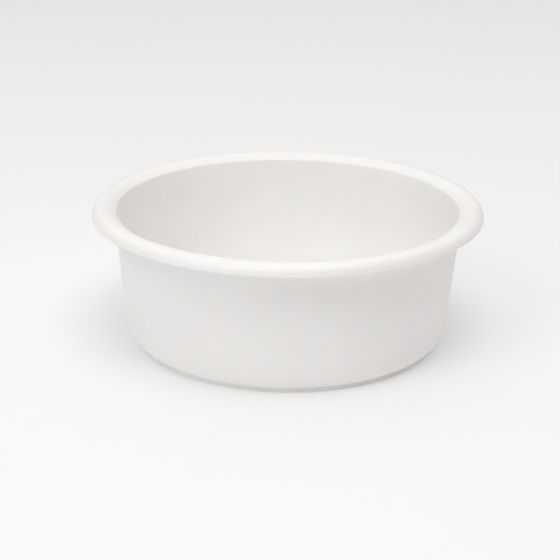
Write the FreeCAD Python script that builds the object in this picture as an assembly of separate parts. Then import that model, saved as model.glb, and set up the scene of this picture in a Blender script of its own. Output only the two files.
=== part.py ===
"""Round mortar mixing tub: one thin-walled white polyethylene moulding, about 10 litres.

The section of the whole moulding is drawn once, as (radius, height) outlines in the XZ plane. It is
then cut at its natural borders into the rim's crown and skirt, the side wall, the bottom corner, the
floor and the foot ring, which meet face to face, and each is turned about Z. The tub stands on Z = 0
with its axis on Z. Units are millimetres.
"""

import FreeCAD, Part
from math import cos, radians, sin, tan
import os

# Driving dimensions
RIM_RADIUS = 190.0              # outside of the skirt
HEIGHT = 137.0                  # to the top of the rim
WALL = 3.0                      # thickness of the wall, floor and rim
WALL_RADIUS_AT_SKIRT = 168.8    # outside of the wall, level with the skirt's lower edge
WALL_DRAFT = 5.6                # degrees that each side leans outwards

RIM_DEPTH = 10.6                # top of the rim to the skirt's lower edge
CROWN_RADIUS = 9.6              # outer edge of the rim's crown
SHOULDER_RADIUS = 175.0         # where the flat top of the crown would meet the shoulder
SHOULDER_SLOPE = 33.0           # degrees that the shoulder falls towards the inside
SHOULDER_BLEND = 14.0           # radius between crown and shoulder
LIP_RADIUS = 3.0                # edge between shoulder and inner wall
CHANNEL_FILLET = 1.5            # where the wall's outside meets the roof of the channel under the rim

CORNER_RADIUS = 17.0            # outside radius between wall and floor
FLOOR_CLEARANCE = 2.6           # gap between the floor and the ground
FOOT_OUTER_RADIUS = 148.8
FOOT_WIDTH = 4.5
EDGE_RADIUS = 0.8               # on the lower edges of the skirt and the foot ring

GATE_RECESS_RADIUS = 7.0        # shallow recess round the moulding gate, under the floor's centre
GATE_RECESS_DEPTH = 0.8
GATE_STUB_RADIUS = 2.0
GATE_STUB_HEIGHT = 0.5

# Worked out from the driving dimensions
SKIRT_EDGE = HEIGHT - RIM_DEPTH
FLOOR_TOP = FLOOR_CLEARANCE + WALL
WALL_ACROSS = WALL / cos(radians(WALL_DRAFT))   # the wall's thickness, measured level
REACH = RIM_RADIUS + 10.0                       # beyond every outline

Z_AXIS = FreeCAD.Vector(0, 0, 1)


def wall_outside(z):
    """Radius of the wall's outside face at a height."""
    return WALL_RADIUS_AT_SKIRT + (z - SKIRT_EDGE) * tan(radians(WALL_DRAFT))


def shoulder(radius, depth=0.0):
    """Height of the shoulder's straight slope at a radius, or of the line that runs depth under it."""
    slope = radians(SHOULDER_SLOPE)
    return HEIGHT - (SHOULDER_RADIUS - radius) * tan(slope) - depth / cos(slope)


def wall_meets_shoulder(inset, depth):
    """(radius, height) where a line inset from the wall's outside meets the line depth under the shoulder."""
    slope, draft = tan(radians(SHOULDER_SLOPE)), tan(radians(WALL_DRAFT))
    foot = wall_outside(0.0) - inset
    height = (shoulder(0.0, depth) + foot * slope) / (1.0 - draft * slope)
    return foot + height * draft, height


def corner_arc(before, corner, after, radius):
    """The start, middle and end of the arc that rounds a corner of an outline."""
    to_before = (before - corner).normalize()
    to_after = (after - corner).normalize()
    half_angle = to_before.getAngle(to_after) / 2.0
    inward = (to_before + to_after).normalize()
    setback = radius / tan(half_angle)
    centre = corner + inward * (radius / sin(half_angle))
    return corner + to_before * setback, centre - inward * radius, corner + to_after * setback


def outline_face(points):
    """A flat face inside a closed outline of (radius, height, corner radius) points."""
    corners = [FreeCAD.Vector(r, 0, z) for r, z, _ in points]
    arcs = []
    for n, (_, _, radius) in enumerate(points):
        before, corner, after = corners[n - 1], corners[n], corners[(n + 1) % len(corners)]
        arcs.append(corner_arc(before, corner, after, radius) if radius else (corner, corner, corner))
    edges = []
    for n, (start, middle, end) in enumerate(arcs):
        start_of_next = arcs[(n + 1) % len(arcs)][0]
        if points[n][2]:
            edges.append(Part.Arc(start, middle, end).toShape())
        edges.append(Part.LineSegment(end, start_of_next).toShape())
    return Part.Face(Part.Wire(edges))


def shell_section():
    """All but the foot ring as one outline: from the axis out under the floor, up, over and back."""
    recess = FLOOR_CLEARANCE + GATE_RECESS_DEPTH
    stub = recess - GATE_STUB_HEIGHT
    slope = radians(SHOULDER_SLOPE)
    roof = HEIGHT - WALL
    roof_bend = SHOULDER_RADIUS + (WALL / cos(slope) - WALL) / tan(slope)
    return outline_face(
        [
            (0.0, stub, 0.0),
            (GATE_STUB_RADIUS, stub, 0.0),
            (GATE_STUB_RADIUS, recess, 0.0),
            (GATE_RECESS_RADIUS, recess, 0.0),
            (GATE_RECESS_RADIUS, FLOOR_CLEARANCE, 0.0),
            (wall_outside(FLOOR_CLEARANCE), FLOOR_CLEARANCE, CORNER_RADIUS),
            (*wall_meets_shoulder(0.0, WALL), CHANNEL_FILLET),
            (roof_bend, roof, SHOULDER_BLEND - WALL),
            (RIM_RADIUS - WALL, roof, CROWN_RADIUS - WALL),
            (RIM_RADIUS - WALL, SKIRT_EDGE, EDGE_RADIUS),
            (RIM_RADIUS, SKIRT_EDGE, EDGE_RADIUS),
            (RIM_RADIUS, HEIGHT, CROWN_RADIUS),
            (SHOULDER_RADIUS, HEIGHT, SHOULDER_BLEND),
            (*wall_meets_shoulder(WALL_ACROSS, 0.0), LIP_RADIUS),
            (wall_outside(FLOOR_TOP) - WALL_ACROSS, FLOOR_TOP, CORNER_RADIUS - WALL),
            (0.0, FLOOR_TOP, 0.0),
        ]
    )


def foot_section():
    """The foot ring's outline, which runs up into the bottom corner."""
    inner = FOOT_OUTER_RADIUS - FOOT_WIDTH
    return outline_face(
        [
            (inner, 0.0, EDGE_RADIUS),
            (FOOT_OUTER_RADIUS, 0.0, EDGE_RADIUS),
            (FOOT_OUTER_RADIUS, FLOOR_TOP, 0.0),
            (inner, FLOOR_TOP, 0.0),
        ]
    )


def zone(inner, outer, bottom, top):
    """A rectangle of the section plane, for cutting the section into its parts."""
    return outline_face([(inner, bottom, 0), (outer, bottom, 0), (outer, top, 0), (inner, top, 0)])


def sections():
    """Each part's name and section."""
    shell = shell_section()
    draft = radians(WALL_DRAFT)
    corner_centre = FLOOR_CLEARANCE + CORNER_RADIUS
    corner_top = corner_centre - CORNER_RADIUS * sin(draft)
    floor_edge = wall_outside(corner_centre) - CORNER_RADIUS / cos(draft)
    wall_top = wall_meets_shoulder(0.0, WALL)[1] - CHANNEL_FILLET
    skirt_inner = RIM_RADIUS - CROWN_RADIUS
    return {
        "rim_crown": shell.common(zone(0.0, skirt_inner, wall_top, HEIGHT + WALL)),
        "rim_skirt": shell.common(zone(skirt_inner, REACH, 0.0, HEIGHT + WALL)),
        "side_wall": shell.common(zone(0.0, skirt_inner, corner_top, wall_top)),
        "bottom_corner": shell.common(zone(floor_edge, REACH, 0.0, corner_top)),
        "floor": shell.common(zone(0.0, floor_edge, 0.0, corner_top)),
        "foot_ring": foot_section().cut(shell),
    }


def turned(section):
    """The closed solid that a section sweeps in a full turn about the tub's axis."""
    solids = section.revolve(FreeCAD.Vector(0, 0, 0), Z_AXIS, 360).Solids
    assert len(solids) == 1 and solids[0].isValid() and solids[0].Volume > 0
    return solids[0]


def main():
    os.makedirs("parts", exist_ok=True)
    for name, section in sections().items():
        solid = turned(section)
        solid.exportStep(f"parts/{name}.step")
        print(f"{name:14s} {solid.Volume / 1000:7.1f} cm3")


main()
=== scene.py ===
"""Looks of the mortar mixing tub: satin white polyethylene, on a pale floor in soft studio light.

The tub is one moulding, turned about Z from a section. The section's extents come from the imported
model's boxes, and its radii and angles are the design's own, repeated here. Lengths are in metres,
angles in radians and powers in watts.
"""

import bmesh
import bpy
from math import ceil, cos, pi, radians, sin, tan
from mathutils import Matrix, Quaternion, Vector


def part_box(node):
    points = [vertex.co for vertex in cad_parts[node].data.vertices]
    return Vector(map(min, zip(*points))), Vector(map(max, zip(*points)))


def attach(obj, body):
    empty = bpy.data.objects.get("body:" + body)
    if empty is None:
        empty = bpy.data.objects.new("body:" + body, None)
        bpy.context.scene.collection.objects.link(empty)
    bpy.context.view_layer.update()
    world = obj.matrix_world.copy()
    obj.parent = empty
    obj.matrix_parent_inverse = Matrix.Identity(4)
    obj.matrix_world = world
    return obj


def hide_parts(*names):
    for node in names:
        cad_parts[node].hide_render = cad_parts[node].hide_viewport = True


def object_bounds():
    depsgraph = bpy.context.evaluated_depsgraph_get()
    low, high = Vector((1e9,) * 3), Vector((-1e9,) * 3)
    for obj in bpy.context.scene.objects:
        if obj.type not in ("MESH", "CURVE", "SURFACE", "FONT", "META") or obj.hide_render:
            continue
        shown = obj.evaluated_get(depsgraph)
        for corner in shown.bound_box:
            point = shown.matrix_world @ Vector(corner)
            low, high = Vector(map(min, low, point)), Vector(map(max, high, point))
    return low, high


MM = 0.001

# The section's radii and angles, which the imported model's boxes don't give
WALL = 3.0 * MM
WALL_DRAFT = radians(5.6)
CROWN_RADIUS = 9.6 * MM
SHOULDER_RADIUS = 175.0 * MM
SHOULDER_SLOPE = radians(33.0)
SHOULDER_BLEND = 14.0 * MM
LIP_RADIUS = 3.0 * MM
CHANNEL_FILLET = 1.5 * MM
CORNER_RADIUS = 17.0 * MM
FOOT_WIDTH = 4.5 * MM
EDGE_RADIUS = 0.8 * MM
GATE_RECESS_RADIUS = 7.0 * MM
GATE_RECESS_DEPTH = 0.8 * MM
GATE_STUB_RADIUS = 2.0 * MM
GATE_STUB_HEIGHT = 0.5 * MM

# How finely the meshes are made
TURN_STEPS = 288                 # round the axis
ARC_STEP = radians(5.0)          # along a rounded corner of the section
LONGEST_STEP = 6.0 * MM          # along a straight stretch of the section
SHARP = radians(30.0)            # an edge that turns more than this is shaded sharp
ON_AXIS = 0.0001 * MM            # a point nearer the axis than this is one vertex, not a ring

# The plastic's marks
SCUFF_WIDTH = 0.9 * MM
SCUFF_WRAP = 20.0 * MM           # radius that their noise is wrapped on: smaller makes them longer
SCUFF_PATCH = 45.0 * MM
SCUFF_DEPTH = 0.02 * MM
FOOT_WEAR_HEIGHT = 3.5 * MM
RIM_WEAR_WIDTH = 4.0 * MM
WEAR_PATCH = 4.0 * MM

# The stage
FLOOR_RADIUS = 8.0
FLOOR_GLOW = 0.22
COOL_WHITE = (0.985, 1.0, 0.995)
WARM_WHITE = (1.0, 0.975, 0.965)

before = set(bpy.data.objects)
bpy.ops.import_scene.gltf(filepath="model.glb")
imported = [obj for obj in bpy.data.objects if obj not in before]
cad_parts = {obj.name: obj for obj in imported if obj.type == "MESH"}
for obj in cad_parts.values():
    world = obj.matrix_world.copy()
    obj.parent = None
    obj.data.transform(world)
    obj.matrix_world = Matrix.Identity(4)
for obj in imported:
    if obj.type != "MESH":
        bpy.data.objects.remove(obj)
cad_low, cad_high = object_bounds()

HEIGHT = cad_high.z
RIM_RADIUS = cad_high.x
SKIRT_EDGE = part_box("rim_skirt")[0].z
WALL_TOP, WALL_TOP_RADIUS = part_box("side_wall")[1].z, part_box("side_wall")[1].x
FLOOR_CLEARANCE, FLOOR_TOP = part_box("floor")[0].z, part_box("floor")[1].z
FOOT_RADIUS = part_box("foot_ring")[1].x
WALL_ACROSS = WALL / cos(WALL_DRAFT)


# ---------------------------------------------------------------- the section and the meshes

def wall_outside(z):
    """Radius of the wall's outside face at a height."""
    return WALL_TOP_RADIUS + (z - WALL_TOP) * tan(WALL_DRAFT)


def wall_meets_shoulder(inset, depth):
    """(radius, height) where a line inset from the wall meets the line depth under the shoulder."""
    slope, draft = tan(SHOULDER_SLOPE), tan(WALL_DRAFT)
    foot = wall_outside(0.0) - inset
    shoulder_at_axis = HEIGHT - SHOULDER_RADIUS * slope - depth / cos(SHOULDER_SLOPE)
    height = (shoulder_at_axis + foot * slope) / (1.0 - draft * slope)
    return foot + height * draft, height


def rounded(corners):
    """The closed outline through (radius, height, corner radius) points, with its corners as arcs."""
    spots = [Vector((r, z)) for r, z, _ in corners]
    outline = []
    for n, (_, _, radius) in enumerate(corners):
        corner = spots[n]
        if not radius:
            outline.append(corner)
            continue
        to_before = (spots[n - 1] - corner).normalized()
        to_after = (spots[(n + 1) % len(spots)] - corner).normalized()
        half_angle = to_before.angle(to_after) / 2.0
        centre = corner + (to_before + to_after).normalized() * (radius / sin(half_angle))
        start = (corner + to_before * (radius / tan(half_angle)) - centre).normalized()
        end = (corner + to_after * (radius / tan(half_angle)) - centre).normalized()
        steps = ceil((pi - 2.0 * half_angle) / ARC_STEP)
        outline += [centre + start.slerp(end, step / steps) * radius for step in range(steps + 1)]
    return outline


def divided(outline):
    """The outline with its long straight stretches cut into short ones."""
    points = []
    for n, start in enumerate(outline):
        end = outline[(n + 1) % len(outline)]
        steps = max(1, ceil((end - start).length / LONGEST_STEP))
        points += [start.lerp(end, step / steps) for step in range(steps)]
    return points


def turned(name, outline):
    """A closed mesh object: an outline, anticlockwise in (radius, height), turned about Z."""
    mesh = bmesh.new()
    rings = []
    for point in divided(outline):
        if point.x < ON_AXIS:
            rings.append([mesh.verts.new((0.0, 0.0, point.y))] * TURN_STEPS)
        else:
            turns = [2.0 * pi * step / TURN_STEPS for step in range(TURN_STEPS)]
            spots = [(point.x * cos(turn), point.x * sin(turn), point.y) for turn in turns]
            rings.append([mesh.verts.new(spot) for spot in spots])
    for n, ring in enumerate(rings):
        after = rings[(n + 1) % len(rings)]
        for step in range(TURN_STEPS):
            beside = (step + 1) % TURN_STEPS
            loop = dict.fromkeys((ring[step], ring[beside], after[beside], after[step]))
            if len(loop) > 2:
                mesh.faces.new(loop)
    bmesh.ops.recalc_face_normals(mesh, faces=mesh.faces)
    for face in mesh.faces:
        face.smooth = True
    for edge in mesh.edges:
        edge.smooth = edge.calc_face_angle(0.0) < SHARP
    data = bpy.data.meshes.new(name)
    mesh.to_mesh(data)
    mesh.free()
    piece = bpy.data.objects.new(name, data)
    bpy.context.scene.collection.objects.link(piece)
    piece.modifiers.new("even_normals", "WEIGHTED_NORMAL").keep_sharp = True
    return piece


def shell_outline():
    """All but the foot ring: from the axis out under the floor, up, over the rim and back inside."""
    recess = FLOOR_CLEARANCE + GATE_RECESS_DEPTH
    stub = recess - GATE_STUB_HEIGHT
    roof = HEIGHT - WALL
    roof_bend = SHOULDER_RADIUS + (WALL / cos(SHOULDER_SLOPE) - WALL) / tan(SHOULDER_SLOPE)
    return rounded([
        (0.0, stub, 0.0),
        (GATE_STUB_RADIUS, stub, 0.0),
        (GATE_STUB_RADIUS, recess, 0.0),
        (GATE_RECESS_RADIUS, recess, 0.0),
        (GATE_RECESS_RADIUS, FLOOR_CLEARANCE, 0.0),
        (wall_outside(FLOOR_CLEARANCE), FLOOR_CLEARANCE, CORNER_RADIUS),
        (*wall_meets_shoulder(0.0, WALL), CHANNEL_FILLET),
        (roof_bend, roof, SHOULDER_BLEND - WALL),
        (RIM_RADIUS - WALL, roof, CROWN_RADIUS - WALL),
        (RIM_RADIUS - WALL, SKIRT_EDGE, EDGE_RADIUS),
        (RIM_RADIUS, SKIRT_EDGE, EDGE_RADIUS),
        (RIM_RADIUS, HEIGHT, CROWN_RADIUS),
        (SHOULDER_RADIUS, HEIGHT, SHOULDER_BLEND),
        (*wall_meets_shoulder(WALL_ACROSS, 0.0), LIP_RADIUS),
        (wall_outside(FLOOR_TOP) - WALL_ACROSS, FLOOR_TOP, CORNER_RADIUS - WALL),
        (0.0, FLOOR_TOP, 0.0),
    ])


def under_corner(radius):
    """The point at a radius on the underside of the rounded bottom corner."""
    centre_height = FLOOR_CLEARANCE + CORNER_RADIUS
    centre_radius = wall_outside(centre_height) - CORNER_RADIUS / cos(WALL_DRAFT)
    return Vector((radius, centre_height - (CORNER_RADIUS**2 - (radius - centre_radius)**2)**0.5))


def tub_outline():
    """The shell's outline with the foot ring let into its underside."""
    inner = FOOT_RADIUS - FOOT_WIDTH
    shell = shell_outline()
    top = [under_corner(FOOT_RADIUS), under_corner(inner)]
    foot = rounded([
        (*top[1], 0.0),
        (inner, 0.0, EDGE_RADIUS),
        (FOOT_RADIUS, 0.0, EDGE_RADIUS),
        (*top[0], 0.0),
    ])
    reaches_foot = next(n for n, point in enumerate(shell) if point.x > inner)
    leaves_foot = next(n for n, point in enumerate(shell) if point.x > FOOT_RADIUS)
    return shell[:reaches_foot] + foot + shell[leaves_foot:]


# ---------------------------------------------------------------- materials

class Nodes:
    """Short calls for the few shader nodes that the materials are made of."""

    def __init__(self, name):
        self.material = bpy.data.materials.new(name)
        self.material.use_nodes = True
        self.tree = self.material.node_tree
        self.tree.nodes.clear()

    def plug(self, socket, value):
        """Links a node's input to another node's output, or sets it to a plain value."""
        if isinstance(value, bpy.types.NodeSocket):
            self.tree.links.new(value, socket)
        else:
            socket.default_value = value

    def add(self, kind, **inputs):
        """A new node, with its inputs named with _ for a space."""
        node = self.tree.nodes.new("ShaderNode" + kind)
        for name, value in inputs.items():
            self.plug(node.inputs[name.replace("_", " ")], value)
        return node

    def maths(self, operation, *values):
        """One arithmetic step on numbers or outputs."""
        node = self.add("Math")
        node.operation = operation
        for socket, value in zip(node.inputs, values):
            self.plug(socket, value)
        return node.outputs[0]

    def noise(self, place, size, detail=3.0, roughness=0.5):
        """Noise of features about size metres across, from 0 to 1."""
        scale = 1.0 / size
        node = self.add("TexNoise", Vector=place, Scale=scale, Detail=detail, Roughness=roughness)
        return node.outputs[0]

    def ramp(self, value, low, high, to_low=0.0, to_high=1.0):
        """A smooth step from to_low at low to to_high at high."""
        node = self.add("MapRange")
        node.interpolation_type = "SMOOTHSTEP"
        for socket, number in zip(node.inputs, (value, low, high, to_low, to_high)):
            self.plug(socket, number)
        return node.outputs[0]

    def blend(self, factor, a, b):
        """Colour a where factor is 0 and b where it is 1."""
        node = self.add("Mix")
        node.data_type = "RGBA"
        self.plug(node.inputs[0], factor)
        for socket, colour in ((node.inputs[6], a), (node.inputs[7], b)):
            self.plug(socket, (*colour, 1.0) if isinstance(colour, tuple) else colour)
        return node.outputs[2]

    def bump(self, height, depth, under=None):
        """A normal that height, from 0 to 1, raises by depth metres, over the bumps in under."""
        node = self.add("Bump", Height=height, Distance=depth, Strength=1.0)
        if under:
            self.plug(node.inputs["Normal"], under)
        return node.outputs[0]

    def surface(self, **inputs):
        """The finished material: a principled shader with these inputs."""
        shader = self.add("BsdfPrincipled", **inputs)
        self.add("OutputMaterial", Surface=shader.outputs[0])
        return self.material


def polyethylene():
    """White moulded polyethylene: satin and faintly waxy, with moulding grain and light scuffs."""
    n = Nodes("white_polyethylene")
    place = n.add("NewGeometry").outputs["Position"]
    xyz = n.add("SeparateXYZ", Vector=place).outputs
    x_squared = n.maths("POWER", xyz[0], 2.0)
    y_squared = n.maths("POWER", xyz[1], 2.0)
    radius = n.maths("SQRT", n.maths("ADD", x_squared, y_squared))

    # Scuffs run round the axis, so they are noise that is stretched along the turn.
    along = n.maths("SUBTRACT", xyz[2], radius)
    clear_of_axis = n.maths("MAXIMUM", radius, 10.0 * MM)
    turn_x = n.maths("MULTIPLY", n.maths("DIVIDE", xyz[0], clear_of_axis), SCUFF_WRAP)
    turn_y = n.maths("MULTIPLY", n.maths("DIVIDE", xyz[1], clear_of_axis), SCUFF_WRAP)
    wrapped = n.add("CombineXYZ", X=turn_x, Y=turn_y, Z=along).outputs[0]
    hairlines = n.ramp(n.noise(wrapped, SCUFF_WIDTH, 2.0, 0.6), 0.62, 0.74)
    patches = n.ramp(n.noise(place, SCUFF_PATCH, 4.0), 0.46, 0.66)
    scuffs = n.maths("MULTIPLY", hairlines, patches)

    # The foot's lower edge drags on the ground, and the rim's outer edge knocks against things.
    worn_foot = n.ramp(xyz[2], FOOT_WEAR_HEIGHT, 0.2 * MM)
    worn_rim = n.maths("MULTIPLY", n.ramp(radius, RIM_RADIUS - RIM_WEAR_WIDTH, RIM_RADIUS), patches)
    worn = n.maths("MAXIMUM", worn_foot, n.maths("MULTIPLY", worn_rim, 0.6))
    worn = n.maths("MULTIPLY", worn, n.ramp(n.noise(place, WEAR_PATCH, 5.0, 0.65), 0.35, 0.62))

    mottle = n.noise(place, 60.0 * MM, 4.0)
    colour = n.blend(n.ramp(mottle, 0.3, 0.7), (0.922, 0.914, 0.903), (0.938, 0.932, 0.922))
    colour = n.blend(n.maths("MULTIPLY", scuffs, 0.25), colour, (0.74, 0.73, 0.71))
    colour = n.blend(n.maths("MULTIPLY", worn, 0.08), colour, (0.66, 0.645, 0.62))

    gloss = n.ramp(n.noise(place, 30.0 * MM, 5.0, 0.6), 0.3, 0.7, 0.36, 0.46)
    gloss = n.maths("ADD", gloss, n.maths("MULTIPLY", scuffs, 0.15))
    gloss = n.maths("ADD", gloss, n.maths("MULTIPLY", worn, 0.2))

    # The wall waves a little as it cools, and the mould's surface leaves a coarse and a fine grain.
    normal = n.bump(n.noise(place, 50.0 * MM, 1.0), 0.25 * MM)
    normal = n.bump(n.noise(place, 4.5 * MM, 2.0), 0.02 * MM, normal)
    normal = n.bump(n.noise(place, 0.7 * MM, 2.0), 0.006 * MM, normal)
    normal = n.bump(scuffs, -SCUFF_DEPTH, normal)
    return n.surface(
        Base_Color=colour,
        Roughness=gloss,
        Normal=normal,
        IOR=1.51,
        Subsurface_Weight=0.5,
        Subsurface_Radius=(1.0, 0.9, 0.8),
        Subsurface_Scale=4.0 * MM,
    )


def studio_floor():
    """A plain pale floor, faintly uneven, which glows a little, like a photographer's light table."""
    n = Nodes("studio_floor")
    place = n.add("NewGeometry").outputs["Position"]
    colour = n.blend(n.noise(place, 0.4), (0.71, 0.71, 0.71), (0.73, 0.73, 0.73))
    normal = n.bump(n.noise(place, 3.0 * MM, 4.0), 0.02 * MM)
    return n.surface(Base_Color=colour, Roughness=0.7, Normal=normal, Emission_Strength=FLOOR_GLOW)


# ---------------------------------------------------------------- the tub

def make_tub():
    """The whole moulding as one seamless piece, so that light soaks through it without a border."""
    tub = turned("tub", tub_outline())
    tub.data.materials.append(polyethylene())
    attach(tub, "root")
    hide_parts("rim_crown", "rim_skirt", "side_wall", "bottom_corner", "floor", "foot_ring")


# ---------------------------------------------------------------- stage

def make_floor():
    mesh = bmesh.new()
    bmesh.ops.create_circle(mesh, cap_ends=True, segments=96, radius=FLOOR_RADIUS)
    data = bpy.data.meshes.new("studio_floor")
    mesh.to_mesh(data)
    mesh.free()
    data.materials.append(studio_floor())
    floor = bpy.data.objects.new("studio_floor", data)
    bpy.context.scene.collection.objects.link(floor)


def aim(thing, place, target, roll=0.0):
    """Puts a light or camera at a place, looking at a target, turned by roll about its view line."""
    thing.rotation_mode = "QUATERNION"
    thing.location = place
    look = (Vector(target) - Vector(place)).to_track_quat("-Z", "Y")
    thing.rotation_quaternion = look @ Quaternion((0.0, 0.0, 1.0), roll)
    bpy.context.scene.collection.objects.link(thing)


def softbox(name, place, size, power, colour):
    """A square area light that faces the tub."""
    light = bpy.data.lights.new(name, "AREA")
    light.size = size
    light.energy = power
    light.color = colour
    aim(bpy.data.objects.new(name, light), place, (0.0, 0.0, HEIGHT / 2.0))


def studio_walls():
    """A world that is pale up to about 7 degrees above the horizon, and dim and warm over about 14."""
    world = bpy.data.worlds.new("studio")
    world.use_nodes = True
    tree = world.node_tree
    direction = tree.nodes.new("ShaderNodeTexCoord").outputs["Generated"]
    height = tree.nodes.new("ShaderNodeSeparateXYZ")
    shades = tree.nodes.new("ShaderNodeValToRGB")
    shades.color_ramp.interpolation = "EASE"
    pale, dim = shades.color_ramp.elements
    pale.position = 0.12
    pale.color = (0.6, 0.585, 0.585, 1.0)
    dim.position = 0.24
    dim.color = (0.12, 0.1, 0.097, 1.0)
    tree.links.new(direction, height.inputs[0])
    tree.links.new(height.outputs["Z"], shades.inputs[0])
    tree.links.new(shades.outputs[0], tree.nodes["Background"].inputs["Color"])
    return world


def make_lights():
    """A wide soft ceiling, a key from the front left, a softer light over the front, and pale walls."""
    softbox("ceiling", (0.0, 0.8, 3.5), 9.0, 195.0, COOL_WHITE)
    softbox("key", (-1.5, -1.8, 2.0), 1.4, 17.5, COOL_WHITE)
    softbox("over_the_front", (0.25, -1.4, 3.6), 2.0, 43.0, WARM_WHITE)
    bpy.context.scene.world = studio_walls()
    bpy.context.scene.view_settings.view_transform = "Standard"


def make_camera():
    """Looks down at the tub by about 20 degrees from 1.5 metres away, held a little off level."""
    lens = bpy.data.cameras.new("camera")
    lens.lens = 100.0
    camera = bpy.data.objects.new("camera", lens)
    aim(camera, (0.0, -1.448, 0.588), (-0.0069, 0.0, 0.0547), radians(0.53))
    bpy.context.scene.camera = camera


make_tub()
make_floor()
make_lights()
make_camera()
